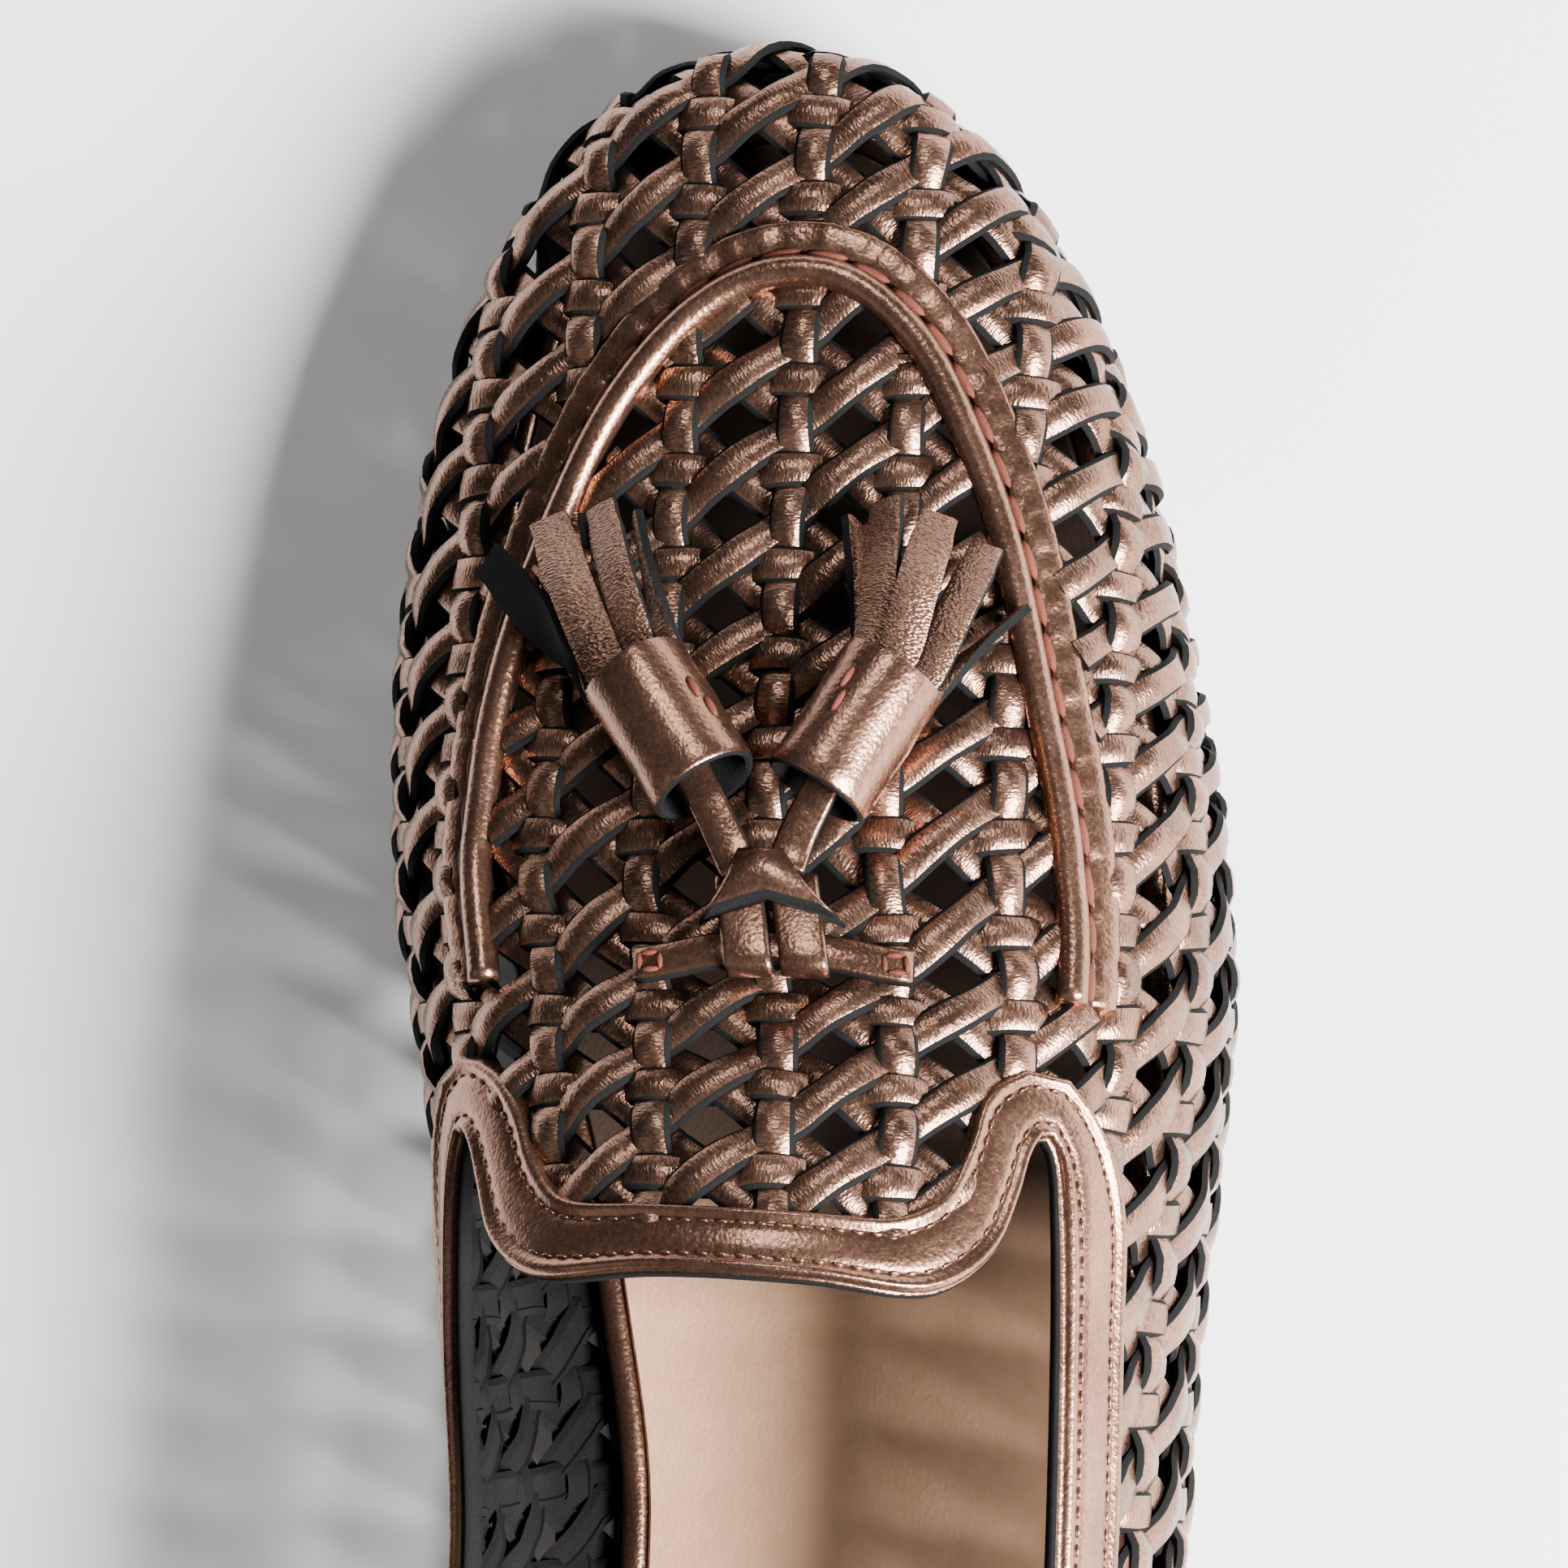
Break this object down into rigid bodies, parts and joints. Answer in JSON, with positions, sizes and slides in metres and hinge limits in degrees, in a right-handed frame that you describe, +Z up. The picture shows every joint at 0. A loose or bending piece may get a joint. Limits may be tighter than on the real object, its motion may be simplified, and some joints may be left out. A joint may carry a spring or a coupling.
{
  "type": "woven tasselled moccasin loafer",
  "caption": "Right slip-on shoe with an open woven leather upper, apron seam, bound topline with notches, laid tassels on a bar, leather sole and low stacked heel.",
  "frame": {"origin": "on the floor under the middle of the shoe's box", "axes": "+Y from heel to toe, +X to the lateral side of this right shoe, +Z up"},
  "size_m": [0.0848, 0.2468, 0.066],
  "materials": {
    "woven_bronze": "metallic bronze foil leather cut in narrow strips, dark cut edges",
    "bronze_trim": "smooth metallic bronze foil leather, finely crinkled",
    "nude_leather": "glossy nude lining leather with fine pores",
    "sole_leather": "dark waxed sole leather",
    "stacked_heel": "stacked leather lifts, waxed",
    "top_lift": "matte rubber"
  },
  "bodies": {
    "root": {"outsole": "sole_leather", "heel": "stacked_heel", "heel_top_lift": "top_lift", "insole": "bronze_trim", "sock_lining": "nude_leather", "upper": "woven_bronze", "apron": "woven_bronze", "apron_bead": "bronze_trim", "apron_band": "bronze_trim", "topline_binding": "bronze_trim", "back_strip": "bronze_trim", "tassel_bar": "bronze_trim", "tassel_strap": "bronze_trim", "tassel_medial": "bronze_trim", "tassel_lateral": "bronze_trim"}
  },
  "joints": []
}
